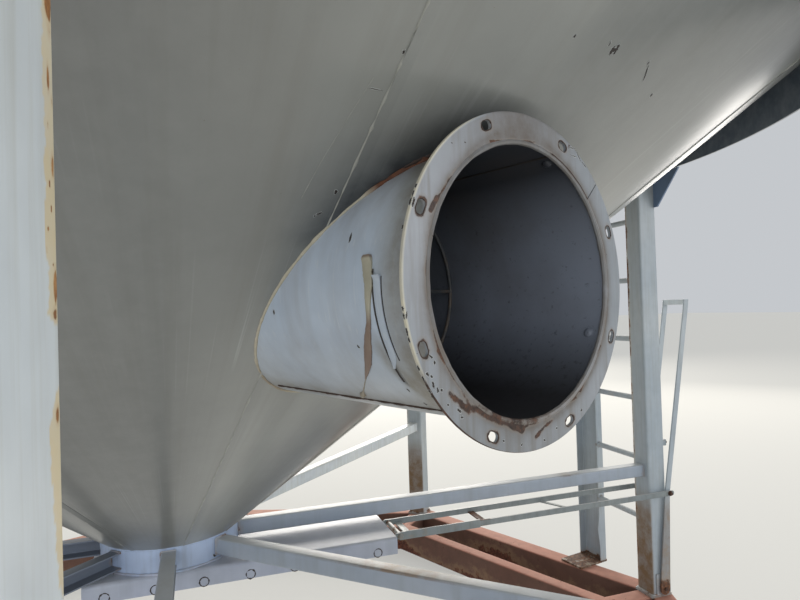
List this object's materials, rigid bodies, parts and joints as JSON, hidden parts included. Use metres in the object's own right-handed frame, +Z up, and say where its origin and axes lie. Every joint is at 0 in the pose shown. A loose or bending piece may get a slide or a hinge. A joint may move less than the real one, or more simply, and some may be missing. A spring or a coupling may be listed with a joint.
{
  "type": "hopper-bottom grain silo",
  "caption": "Welded steel grain silo: round wall, conical roof and hopper on a skid-mounted leg frame, with a lever-worked slide gate, an aeration duct and ladders.",
  "frame": {"origin": "on the ground under the middle of the silo's outline; the silo's own axis is 78.6 mm to -X of it", "axes": "+Z up along the silo's axis, +X towards leg 1, the gate lever and the ladders, +Y to complete the right-handed frame"},
  "size_m": [4.8115, 4.6542, 7.393],
  "materials": {
    "hopper_paint": "weathered grey-beige paint, satin",
    "wall_paint": "light grey paint, satin",
    "frame_paint": "light bluish grey paint with rust along edges",
    "collar_paint": "pale bluish white paint, satin",
    "duct_paint": "bluish grey paint with chips and rust",
    "skid_paint": "red oxide primer, rusty and matt"
  },
  "bodies": {
    "root": {"skid_quarter_1": "skid_paint", "skid_quarter_2": "skid_paint", "skid_quarter_3": "skid_paint", "skid_quarter_4": "skid_paint", "leg_1": "frame_paint", "leg_2": "frame_paint", "leg_3": "frame_paint", "leg_4": "frame_paint", "leg_5": "frame_paint", "leg_6": "frame_paint", "leg_7": "frame_paint", "leg_8": "frame_paint", "spoke_1": "frame_paint", "spoke_2": "frame_paint", "spoke_3": "frame_paint", "spoke_4": "frame_paint", "spoke_5": "frame_paint", "spoke_6": "frame_paint", "spoke_7": "frame_paint", "spoke_8": "frame_paint", "hopper_quarter_1": "hopper_paint", "hopper_quarter_2": "hopper_paint", "hopper_quarter_3": "hopper_paint", "hopper_quarter_4": "hopper_paint", "wall_quarter_1": "wall_paint", "wall_quarter_2": "wall_paint", "wall_quarter_3": "wall_paint", "wall_quarter_4": "wall_paint", "roof_quarter_1": "wall_paint", "roof_quarter_2": "wall_paint", "roof_quarter_3": "wall_paint", "roof_quarter_4": "wall_paint", "roof_neck": "wall_paint", "roof_lid": "wall_paint", "outlet_collar": "collar_paint", "gate_housing": "frame_paint", "lever_bracket": "frame_paint", "duct_tube": "duct_paint", "duct_flange": "duct_paint", "duct_guard": "duct_paint", "lower_ladder": "frame_paint", "wall_ladder": "frame_paint", "roof_ladder": "frame_paint"},
    "gate": {"slide_gate": "frame_paint"},
    "link": {"link_frame": "frame_paint"},
    "lever": {"gate_lever": "frame_paint"}
  },
  "joints": [
    {"name": "lever_swing", "type": "hinge", "parent": "root", "child": "lever", "pos_m": [2.1684, 0, 0.191], "axis": [0, 1, 0], "range_deg": [0, 45]},
    {"name": "gate_slide", "type": "slide", "parent": "root", "child": "gate", "axis": [1, 0, 0], "range_m": [0, 0.3283]},
    {"name": "link_tilt", "type": "hinge", "parent": "gate", "child": "link", "pos_m": [0.8114, 0, 0.656], "axis": [0, 1, 0], "range_deg": [0, 6.59]}
  ],
  "couplings": [
    {"joint": "gate_slide", "follows": "lever_swing", "m_per_rad": 0.418},
    {"joint": "link_tilt", "follows": "lever_swing", "ratio": 0.14644}
  ]
}
